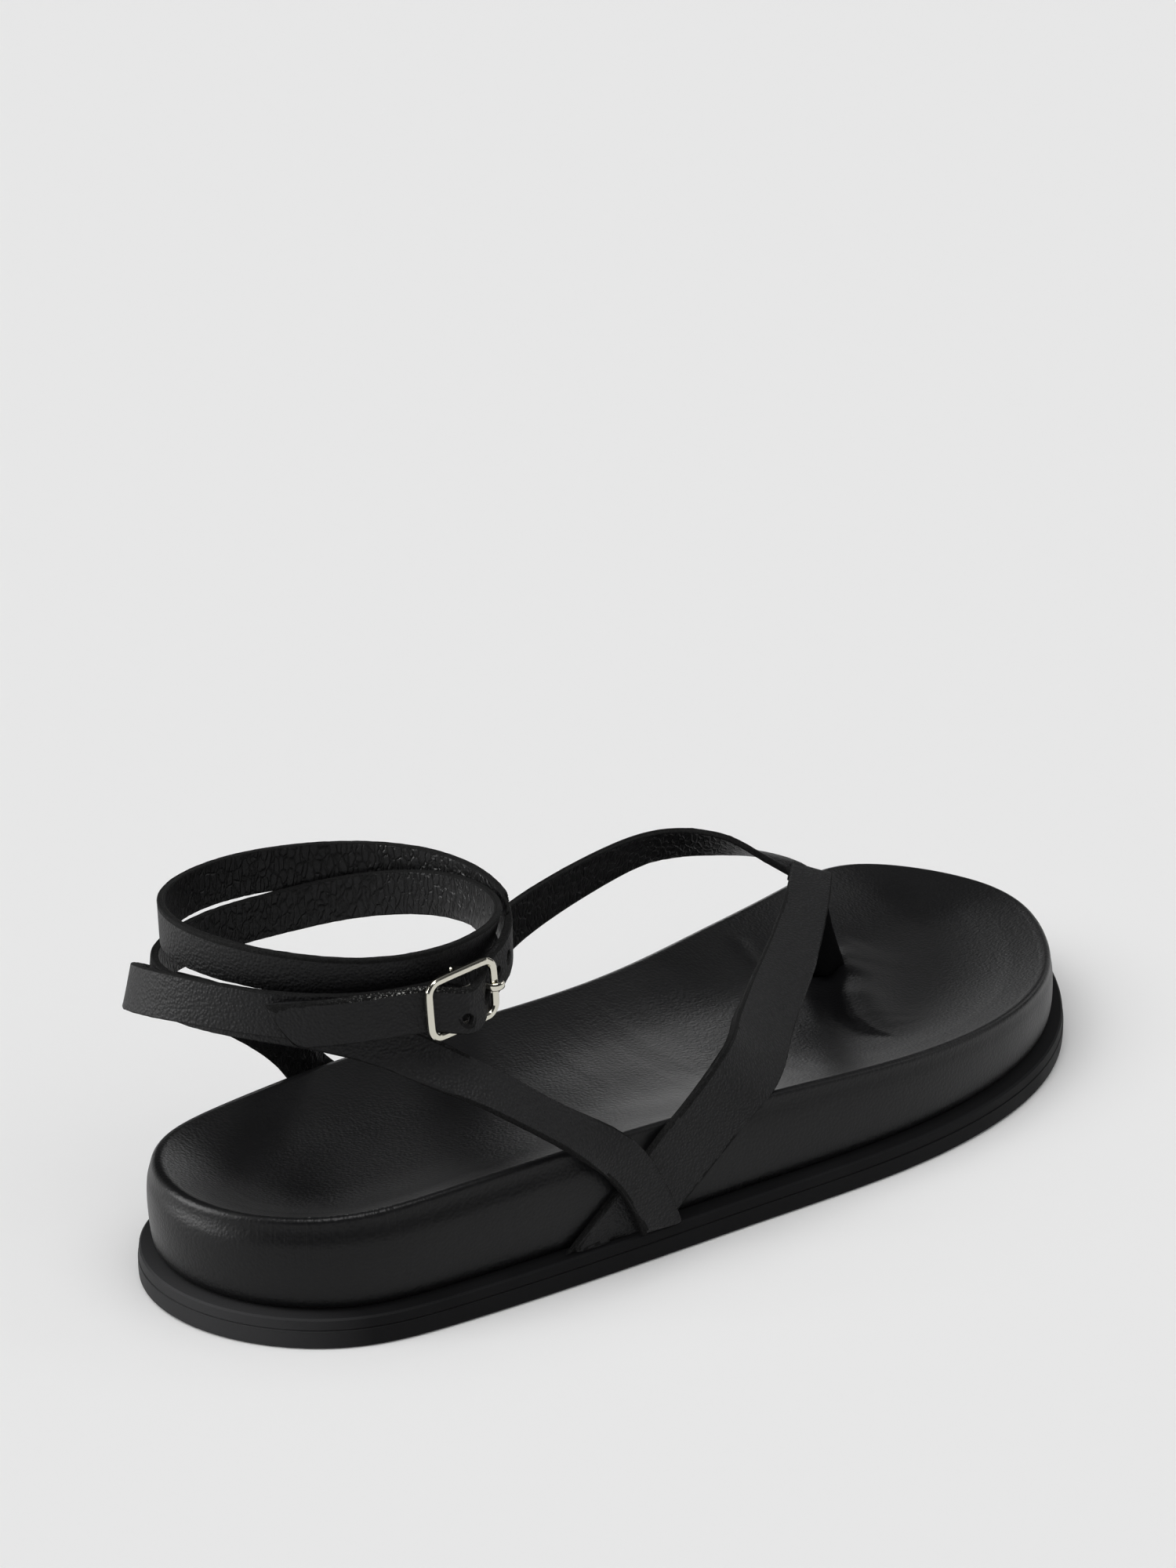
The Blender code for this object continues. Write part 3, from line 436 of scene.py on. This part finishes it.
def makeOutsole():
    form = outsoleForm
    piece = copyNode("outsole", "outsole_moulded")
    picks = [abs(f.normal.z) > form["flat"] and f.area / mm ** 2 > form["flatArea"] for f in piece.data.polygons]
    insetFaces(piece, picks, form["insets"], True)
    creaseEdges(piece, form["hardEdge"], 1.0)
    smoothOut(piece, form["levels"])
    pickOnly(piece)
    bpy.ops.object.shade_smooth_by_angle(angle=math.radians(form["smoothUnder"]))
    piece.data.materials.append(rubber)
    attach(piece, "root")
    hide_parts("outsole")
    return piece


outsole = makeOutsole()
print("outsole made", len(outsole.data.polygons))


# platform: footbed, rim and wall in one leather wrap

platformForm = {
    "flat": 0.9, "flatArea": 20.0, "insets": [(0.6, 0.0)], "levels": 3,
    "wallBand": (12.0, 17.0), "wallSlope": 0.3,    # heights and greatest slope of what is surely wall
    "wallDepth": 2.0,                              # how far in from there the wall goes
    "bedFrom": 13.0, "bedEdge": (3.5, 1.5),        # height, then distance from the wall and width of the fade
    # creases as lines of knots: x, y, height
    "packedRidge": [(61.3, 5.4, 1.8), (54.0, -1.7, 2.2), (47.0, -11.7, 2.0), (44.8, -20.0, 1.2), (45.5, -27.5, 0.3)],
    "packedShare": 0.72, "packedHalf": 4.9,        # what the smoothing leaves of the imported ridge
    "toeRidge": [(70.0, 13.5, 1.2), (66.0, 10.0, 1.7), (61.3, 5.4, 2.0), (54.0, -1.7, 2.2), (47.0, -11.7, 1.6),
                 (44.8, -20.0, 0.8), (45.5, -27.5, 0.0)],
    "toeSides": (2.2, 11.0),                       # half-widths of the crease towards the heel and the toe
    # the pit's last number is how far the painted shade reaches round the pit
    "toePit": (60.5, 9.0), "pitDepth": 1.1, "pitHalf": 4.0, "pitShade": 6.5,
    "toeMound": [(74.0, 17.0, 0.3), (79.0, 18.5, 0.3), (82.5, 18.5, 0.0)], "moundHalf": 4.2,
    "pucker": [(52.0, 29.0, 0.25), (49.6, 22.5, 0.25)], "puckerHalf": 2.2,
    "shadeSteps": (0.1, 0.2, 0.3, 0.42, 0.55),      # depths in the fold where the next step of painted shade starts
    "waist": (2.0, 24.0), "waistEdge": (5.0, 8.0), "streakTurn": (0.98, 0.18), "streakStretch": 0.1,
    "streakDepth": 0.1, "streakSize": 2.6,
    "rim": [(-134, 25.6), (-70, 28.8), (0, 26.4), (65, 21.9), (105, 20.3), (134, 19.6)],   # outer side
    "tighter": 0.8, "tightBelow": (6.0, 4.0), "tightInside": (9.0, 5.0),
    "swell": [(-75, 0.9), (-35, 0.35), (134, 0.3)], "swellPeak": 0.3, "swellHalf": (0.15, 0.45), "wallFoot": 6.8,
    "heelX": -95.0, "heelRadius": 36.0,            # the round end that the run along the wall follows
    "wrinkles": (-37.0, 15.0), "wrinkleEdge": 3.5, "shoulder": (19.0, 4.0),
    "gathers": (-22.0, 14.0), "gathersTop": (11.5, 3.5)}


def distanceFromWall(points, wall):
    # in plan, from the outer face of the wall, and which wall point is nearest
    tree = kdtree.KDTree(int(wall.sum()))
    for number, (x, y, z) in enumerate(points[wall]):
        tree.insert((x, y, 0.0), number)
    tree.balance()
    found = [tree.find((x, y, 0.0)) for x, y, z in points]
    return np.array([row[2] for row in found]), np.array([row[1] for row in found])


def shapeFootbed(points, fromWall, upper):
    # moves the footbed's points and tells how much painted shade each one gets in the toe's fold
    form = platformForm
    # the toe's crease: steep towards the heel, easy towards the toe
    away, height, side = alongLine(points, form["packedRidge"])
    lift = -form["packedShare"] * height * hump(away, form["packedHalf"])
    away, height, side = alongLine(points, form["toeRidge"])
    lift += height * hump(away, np.interp(side, (-1.0, 1.0), form["toeSides"]))
    # a mask for painted shade along the steep side of the crease and in the pit
    reach = np.where(side < 0, 0.8 + (0.4 + 3.0 * height) * -side, 0.8 - 0.3 * side)
    fold = np.clip(height * 2.0, 0.0, 1.0) * hump(away, reach)
    pitX, pitY = form["toePit"]
    fromPit = np.hypot(points[:, 0] - pitX, points[:, 1] - pitY)
    lift -= form["pitDepth"] * hump(fromPit, form["pitHalf"])
    fold = np.maximum(fold, hump(fromPit, form["pitShade"])) * upper
    for line, halfWidth in (("toeMound", "moundHalf"), ("pucker", "puckerHalf")):
        away, height, side = alongLine(points, form[line])
        lift += height * hump(away, form[halfWidth])
    # slack streaks across the waist
    turnX, turnY = form["streakTurn"]
    streak = np.stack([points[:, 0] * turnX - points[:, 1] * turnY,
                       (points[:, 0] * turnY + points[:, 1] * turnX) * form["streakStretch"],
                       np.zeros(len(points))], axis=1)
    middle, halfLength = form["waist"]
    waist = hump(points[:, 0] - middle, halfLength) * fade(fromWall, *form["waistEdge"])
    lift += form["streakDepth"] * waist * wobble(streak, form["streakSize"], 2)
    points[:, 2] += lift * (fade(fromWall, *form["bedEdge"]) * upper)
    return fold


def tightenRim(points, normals, outward, fromWall, crest, upper):
    # a tighter bend at the crest of the rim
    form = platformForm
    rising = np.clip(normals[:, 2], 0.0, 1.0)
    facing = (normals * outward).sum(axis=1)
    below, belowFade = form["tightBelow"]
    inside, insideFade = form["tightInside"]
    near = np.where(fromWall < form["wallDepth"], np.clip((points[:, 2] - crest + below) / belowFade, 0.0, 1.0),
                    np.clip((inside - fromWall) / insideFade, 0.0, 1.0))
    tight = form["tighter"] * near * upper * np.clip(0.6 - outward[:, 1], 0.3, 1.0)
    points += outward * (tight * (1.0 - facing))[:, None]
    points[:, 2] += tight * (1.0 - rising)


def swellWall(points, normals, fromWall, crest):
    # the wall swells below the rim and leans back to it
    form = platformForm
    below = np.clip((crest - points[:, 2]) / (crest - form["wallFoot"]), 0.0, 1.0)
    onWall = (fromWall < form["wallDepth"]) & (np.abs(normals[:, 2]) < form["flat"])
    peak = form["swellPeak"]
    aboveHalf, belowHalf = form["swellHalf"]
    swell = np.where(below < peak, hump(below - peak, aboveHalf), hump(below - peak, belowHalf)) * onWall
    swell *= np.interp(points[:, 0], *zip(*form["swell"]))
    level = np.hypot(normals[:, 0], normals[:, 1])
    sideways = normals[:, :2] / np.maximum(level, 0.1)[:, None]
    points[:, :2] += sideways * (swell * np.clip(level * 2.0, 0.0, 1.0))[:, None]


def markWrinkles(piece, points, fromWall):
    # run along the wall either way from the back of the heel, and how wrinkled each place is
    form = platformForm
    behind = points[:, 0] - form["heelX"]
    curve = form["heelRadius"] * np.arctan2(points[:, 1], -behind)
    straight = np.sign(points[:, 1]) * (form["heelRadius"] * math.pi / 2 + behind)
    run = np.where(behind < 0, curve, straight)
    addMask(piece, "around", run * mm)
    middle, halfLength = form["wrinkles"]
    shoulder = 0.3 + 0.7 * fade(points[:, 2], *form["shoulder"])
    wrinkled = (0.05 + 0.95 * hump(run - middle, halfLength)) * shoulder
    middle, halfLength = form["gathers"]
    top, topFade = form["gathersTop"]
    low = np.clip((top - points[:, 2]) / topFade, 0.0, 1.0)
    gathered = hump(points[:, 0] - middle, halfLength) * low * (points[:, 1] < 0)
    addMask(piece, "wrinkle", (fromWall < form["wrinkleEdge"]) * np.maximum(wrinkled, gathered))


def makePlatform():
    form = platformForm
    piece = copyNode("platform", "platform_wrap")
    picks = [f.normal.z < -form["flat"] and f.area / mm ** 2 > form["flatArea"] for f in piece.data.polygons]
    insetFaces(piece, picks, form["insets"], True)
    smoothOut(piece, form["levels"])
    points = readPoints(piece)
    normals = readNormals(piece)
    low, high = form["wallBand"]
    wall = (points[:, 2] > low) & (points[:, 2] < high) & (np.abs(normals[:, 2]) < form["wallSlope"])
    fromWall, nearest = distanceFromWall(points, wall)
    outward = normals[wall][nearest] * (1.0, 1.0, 0.0)
    crest = np.interp(points[:, 0], *zip(*form["rim"]))
    upper = points[:, 2] > form["bedFrom"]
    fold = shapeFootbed(points, fromWall, upper)
    tightenRim(points, normals, outward, fromWall, crest, upper)
    swellWall(points, normals, fromWall, crest)
    writePoints(piece, points)
    markWrinkles(piece, points, fromWall)
    for material in wrapLeathers:
        piece.data.materials.append(material)
    # the deeper a face lies in the fold mask, the less gloss its leather copy has: painted shade
    depths = [fold[list(face.vertices)].mean() for face in piece.data.polygons]
    piece.data.polygons.foreach_set("material_index", np.digitize(depths, form["shadeSteps"]))
    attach(piece, "root")
    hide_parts("platform")
    return piece


platform = makePlatform()
print("platform made", len(platform.data.polygons))


# straps: pebbled outside, lined inside and raw cut edges

grainKind, liningKind, edgeKind, postKind = range(4)   # their order in a strap's materials
ankleX, ankleY = -87.0, 6.7                            # axis of the ankle loops in plan

strapForm = {
    "wideArea": 6.5, "wideFacing": 0.85,               # faces taken as the strap's two sides
    "postMiddle": (62.0, 12.0), "postReach": (5.0, 4.5), "postTop": 39.0,
    "sideInsets": [(0.3, 0.0), (0.6, 0.0)],            # width and depth
    "edgeInsets": [(0.1, 0.0), (0.3, 0.0), (0.04, -0.12)], "edgeArea": 1.5,
    "lumpHeight": 0.08, "lumpSize": 0.8,               # of the raw edge
    "margin": 0.85, "levels": 2}


def pointsOfKind(piece, kind):
    found = np.zeros(len(piece.data.vertices), bool)
    for face in piece.data.polygons:
        if face.material_index == kind:
            found[list(face.vertices)] = True
    return found


def rollEdge(piece, points, raw, rolled, towards):
    # the raw edge shows as a dark margin on the side that the strap turns up
    tree = kdtree.KDTree(int(raw.sum()))
    for number, place in enumerate(points[raw]):
        tree.insert(place, number)
    tree.balance()
    for face in piece.data.polygons:
        centre = face.center / mm
        if face.material_index == grainKind and rolled(centre):
            edge, number, distance = tree.find(centre)
            if distance < strapForm["margin"] and (edge - centre).dot(Vector(towards)) > 0:
                face.material_index = edgeKind


def makeStrap(nodeName, pieceName, outwards, rolls=()):
    form = strapForm
    piece = copyNode(nodeName, pieceName)
    mesh = piece.data
    for material in (strapGrain, strapFlesh, strapEdge, postSuede):
        mesh.materials.append(material)
    postX, postY = form["postMiddle"]
    reachX, reachY = form["postReach"]
    kinds = []
    for face in mesh.polygons:
        centre, normal, area = face.center / mm, face.normal, face.area / mm ** 2
        facing = normal.dot(outwards(centre))
        wide = area > form["wideArea"] or abs(facing) > form["wideFacing"]
        onPost = abs(centre.x - postX) < reachX and abs(centre.y - postY) < reachY and centre.z < form["postTop"]
        if onPost:
            kinds.append(postKind)
        elif wide:
            kinds.append(grainKind if facing > 0 else liningKind)
        else:
            kinds.append(edgeKind)
    mesh.polygons.foreach_set("material_index", kinds)
    picks = [f.material_index in (grainKind, liningKind) for f in mesh.polygons]
    insetFaces(piece, picks, form["sideInsets"], False)
    picks = [f.material_index == edgeKind and f.area > form["edgeArea"] * mm ** 2 for f in mesh.polygons]
    insetFaces(piece, picks, form["edgeInsets"], False)
    smoothOut(piece, form["levels"])
    raw = pointsOfKind(piece, edgeKind)
    points = readPoints(piece)
    normals = readNormals(piece)
    points[raw] += normals[raw] * (form["lumpHeight"] * wobble(points[raw], form["lumpSize"], 1))[:, None]
    writePoints(piece, points)
    for rolled, towards in rolls:
        rollEdge(piece, points, raw, rolled, towards)
    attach(piece, "root")
    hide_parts(nodeName)
    return piece


def fromAnkle(centre):
    return Vector((centre.x - ankleX, centre.y - ankleY, 0.0)).normalized()


def fromInstep(centre):
    return Vector((0.0, centre.y - 5.0, centre.z - 20.0)).normalized()


longStrapForm = {
    "loopsOver": 52.0, "dropFrom": -58.0, "nearSide": 20.0,
    "dropEdge": (-0.67, 0.3, -0.66), "loopEdge": (0.0, 0.0, 1.0),    # where the raw margin shows
    "buckleTurn": -87.0, "buckleHalf": 8.5, "buckleRadius": 37.0, "buckleOver": 58.0,
    "bow": 1.0, "bowLower": 0.12, "bowFrom": 68.0, "bowReach": 10.0, "sink": 2.3,
    # turn round the ankle in degrees, with the lowest height and the middle height of the upper loop
    "upperLoop": [(-210, 68.0, 73.2), (-190, 68.4, 73.8), (-165, 68.6, 73.9), (-143, 68.3, 73.4), (-120, 66.5, 72.2),
                  (-90, 66.4, 71.6), (-60, 66.0, 71.2), (-30, 65.2, 70.2)],
    "upperRadius": 35.4, "flare": 16.0, "flareTurn": -105.0, "flareHalf": 70.0, "flareFull": 1.6,
    "frayTurn": -108.0, "frayHalf": 12.0, "frayRadius": 36.5, "frayOver": 68.0}


def onDrop(centre):
    return centre.x > longStrapForm["dropFrom"] and centre.z < longStrapForm["loopsOver"]


def onNearLoops(centre):
    near = centre.x - ankleX + centre.y - ankleY < longStrapForm["nearSide"]
    return centre.z > longStrapForm["loopsOver"] and near


def settleLongStrap(piece):
    form = longStrapForm
    points = readPoints(piece)
    across, along = points[:, 0] - ankleX, points[:, 1] - ankleY
    radius = np.hypot(across, along)
    turn = np.degrees(np.arctan2(along, across))
    turn = np.where(turn > 20.0, turn - 360.0, turn)
    # the strap bows out of the buckle and drops onto its lower bar
    inBuckle = hump(turn - form["buckleTurn"], form["buckleHalf"])
    inBuckle *= (radius > form["buckleRadius"]) & (points[:, 2] > form["buckleOver"])
    lower = np.clip(form["bowFrom"] - points[:, 2], 0.0, form["bowReach"])
    out = inBuckle * (form["bow"] + form["bowLower"] * lower)
    points[:, 2] -= form["sink"] * inBuckle
    # the upper loop flares out to its top edge on the near side
    turns, lowest, centres = zip(*form["upperLoop"])
    inUpper = (radius < form["upperRadius"]) & (points[:, 2] > np.interp(turn, turns, lowest))
    facing = np.clip(form["flareFull"] * hump(turn - form["flareTurn"], form["flareHalf"]), 0.0, 1.0)
    leaning = math.tan(math.radians(form["flare"])) * facing * inUpper
    out += leaning * (points[:, 2] - np.interp(turn, turns, centres))
    points[:, 0] += across / radius * out
    points[:, 1] += along / radius * out
    writePoints(piece, points)
    # fibres stand up along the tail's edge beside the buckle
    onTail = (radius > form["frayRadius"]) & (points[:, 2] > form["frayOver"])
    addMask(piece, "frayed", hump(turn - form["frayTurn"], form["frayHalf"]) * onTail)


toeStrapForm = {
    "marginUnder": (60.0, 11.0), "marginEdge": (-0.63, 0.72, 0.28),
    # middle of the outer branch in plan, with its place along the shoe
    "run": [(-20.2, -43.6, -20.2), (-9.3, -37.8, -9.3), (2.1, -29.3, 2.1), (23.9, -14.1, 23.9), (41.3, -1.0, 41.3)],
    "wider": 0.2, "widerPlace": -11.0, "widerHalf": 9.0, "widerOver": (22.0, 6.0),
    "postUnder": (38.0, 18.0),                       # height where the post starts to broaden, and over how much
    "postX": 63.0, "postLong": 0.8, "postBack": 1.5, "postTwist": 0.24, "postTwistX": 61.5,
    "postAcross": (0.734, -0.679), "postBroad": 0.8, "postShift": 0.1, "postSink": 1.3}


def onOuterBranch(centre):
    limitX, limitY = toeStrapForm["marginUnder"]
    return centre.x < limitX and centre.y < limitY


def settleToeStrap(piece):
    form = toeStrapForm
    # the outer branch keeps its width where it turns down over the rim
    points = readPoints(piece)
    away, place, side = alongLine(points, form["run"])
    start, end = form["run"][1], form["run"][2]
    run = Vector((end[0] - start[0], end[1] - start[1])).normalized()
    wider = form["wider"] * hump(place - form["widerPlace"], form["widerHalf"]) * away * side
    wider *= fade(points[:, 2], *form["widerOver"])
    points[:, 0] -= run.y * wider
    points[:, 1] += run.x * wider
    # the post is a band, broader towards its foot
    onPost = pointsOfKind(piece, postKind)
    start, length = form["postUnder"]
    share = onPost * np.clip((start - points[:, 2]) / length, 0.0, 1.0)
    points[:, 0] += share * (form["postLong"] * (points[:, 0] - form["postX"]) - form["postBack"])
    points[:, 1] += share * form["postTwist"] * (points[:, 0] - form["postTwistX"])
    middle = points[onPost].mean(axis=0)
    acrossX, acrossY = form["postAcross"]
    fromMiddle = acrossX * (points[:, 0] - middle[0]) + acrossY * (points[:, 1] - middle[1])
    broader = share * (form["postShift"] + form["postBroad"] * fromMiddle)
    points[:, 0] += acrossX * broader
    points[:, 1] += acrossY * broader
    points[:, 2] -= form["postSink"] * share
    writePoints(piece, points)


longStrap = makeStrap("ankle_strap_long", "ankle_strap_long_leather", fromAnkle,
                      [(onDrop, longStrapForm["dropEdge"]), (onNearLoops, longStrapForm["loopEdge"])])
settleLongStrap(longStrap)
shortStrap = makeStrap("ankle_strap_short", "ankle_strap_short_leather", fromAnkle)
toeStrap = makeStrap("toe_strap", "toe_strap_leather", fromInstep, [(onOuterBranch, toeStrapForm["marginEdge"])])
settleToeStrap(toeStrap)
print("straps made", sum(len(strap.data.polygons) for strap in (longStrap, shortStrap, toeStrap)))


# buckle

buckleForm = {
    "hardEdge": 30.0, "smoothUnder": 40.0,   # degrees
    "frameCrease": 0.55, "prongCrease": 0.0, "levels": 3}


def makeMetal(nodeName, pieceName, crease):
    piece = copyNode(nodeName, pieceName)
    creaseEdges(piece, buckleForm["hardEdge"], crease)
    smoothOut(piece, buckleForm["levels"])
    pickOnly(piece)
    bpy.ops.object.shade_smooth_by_angle(angle=math.radians(buckleForm["smoothUnder"]))
    piece.data.materials.append(nickel)
    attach(piece, "root")
    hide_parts(nodeName)
    return piece


makeMetal("buckle_frame", "buckle_frame_plated", buckleForm["frameCrease"])
makeMetal("buckle_prong", "buckle_prong_plated", buckleForm["prongCrease"])
print("buckle made")


# floor, light and camera

studio = {
    "floor": "#f2f2f2", "floorSize": 8.0,
    "sky": [(0.0, 0.06), (0.12, 0.04), (0.35, 0.02), (0.75, 0.05), (1.0, 0.5)],   # sine of height, brightness
    "suns": {   # wide even light on the floor, kept out of the gloss
        "wash": {"from": (-0.95, 0.2, 1.0), "spread": 50.0, "strength": 1.1, "shadow": True},
        "fill": {"from": (-0.2, -0.3, 1.0), "spread": 90.0, "strength": 1.68, "shadow": False}},
    "panels": {   # soft boxes that the gloss mirrors
        "left": {"place": (-1.7, 1.5, 0.7), "size": (1.6, 1.6), "power": 68.0},
        "right": {"place": (1.8, -1.2, 1.0), "size": (1.2, 1.2), "power": 7.0},
        "far": {"place": (0.234, 0.26, 0.098), "size": (0.085, 0.196), "power": 0.091},
        "farHeel": {"place": (0.172, 0.318, 0.05), "size": (0.1, 0.1), "power": 0.014},
        "farLow": {"place": (0.311, 0.189, 0.05), "size": (0.13, 0.1), "power": 0.014},
        "side": {"place": (1.5, 0.3, 0.65), "size": (0.5, 0.5), "power": 1.2},
        "overhead": {"place": (-0.3, -0.5, 1.6), "size": (1.1, 1.1), "power": 20.0}},
    "eye": (-0.6004, -0.6247, 0.3861), "lens": 99.0,
    "tilt": 70.64, "turn": -42.77}


def makeStudio():
    for other in bpy.context.view_layer.objects:
        other.select_set(False)
    bpy.ops.mesh.primitive_plane_add(size=studio["floorSize"], location=(0, 0, 0))
    floor = bpy.context.active_object
    floor.name = "floor"
    paper, tree, shader = newMaterial("matt paper sweep", {
        "Base Color": toLinear(studio["floor"]), "Roughness": 1.0, "Specular IOR Level": 0.0})
    floor.data.materials.append(paper)
    world = bpy.data.worlds.new("studio")
    world.use_nodes = True
    tree = world.node_tree
    tree.nodes.clear()
    direction = addNode(tree, "ShaderNodeTexCoord").outputs["Generated"]
    upwards = addNode(tree, "ShaderNodeSeparateXYZ", {}, {"Vector": direction}).outputs["Z"]
    glow = addNode(tree, "ShaderNodeValToRGB", {}, {"Fac": upwards})
    stops = glow.color_ramp.elements
    while len(stops) < len(studio["sky"]):
        stops.new(0.5)
    for stop, (height, brightness) in zip(stops, studio["sky"]):
        stop.position = height
        stop.color = (brightness, brightness, brightness, 1.0)
    sky = addNode(tree, "ShaderNodeBackground", {"Strength": 1.0}, {"Color": glow.outputs["Color"]})
    addNode(tree, "ShaderNodeOutputWorld", {}, {"Surface": sky.outputs[0]})
    bpy.context.scene.world = world
    for name, row in studio["suns"].items():
        lamp = bpy.data.lights.new(name, "SUN")
        lamp.angle = math.radians(row["spread"])
        lamp.energy = row["strength"]
        lamp.use_shadow = row["shadow"]
        holder = bpy.data.objects.new(name, lamp)
        holder.rotation_euler = (-Vector(row["from"])).to_track_quat("-Z", "Y").to_euler()
        holder.visible_glossy = False
        bpy.context.scene.collection.objects.link(holder)
    for name, row in studio["panels"].items():
        lamp = bpy.data.lights.new(name, "AREA")
        lamp.shape = "RECTANGLE"
        lamp.size, lamp.size_y = row["size"]
        lamp.energy = row["power"]
        holder = bpy.data.objects.new(name, lamp)
        holder.location = row["place"]
        holder.rotation_euler = (-Vector(row["place"])).to_track_quat("-Z", "Y").to_euler()
        holder.visible_diffuse = False
        holder.visible_camera = False
        bpy.context.scene.collection.objects.link(holder)
    lens = bpy.data.cameras.new("camera")
    lens.lens = studio["lens"]
    lens.sensor_width = 36.0
    lens.clip_start = 0.01
    camera = bpy.data.objects.new("camera", lens)
    camera.location = studio["eye"]
    camera.rotation_euler = (math.radians(studio["tilt"]), 0.0, math.radians(studio["turn"]))
    bpy.context.scene.collection.objects.link(camera)
    bpy.context.scene.camera = camera
    bpy.context.scene.view_settings.view_transform = "Standard"


makeStudio()
print("studio made")
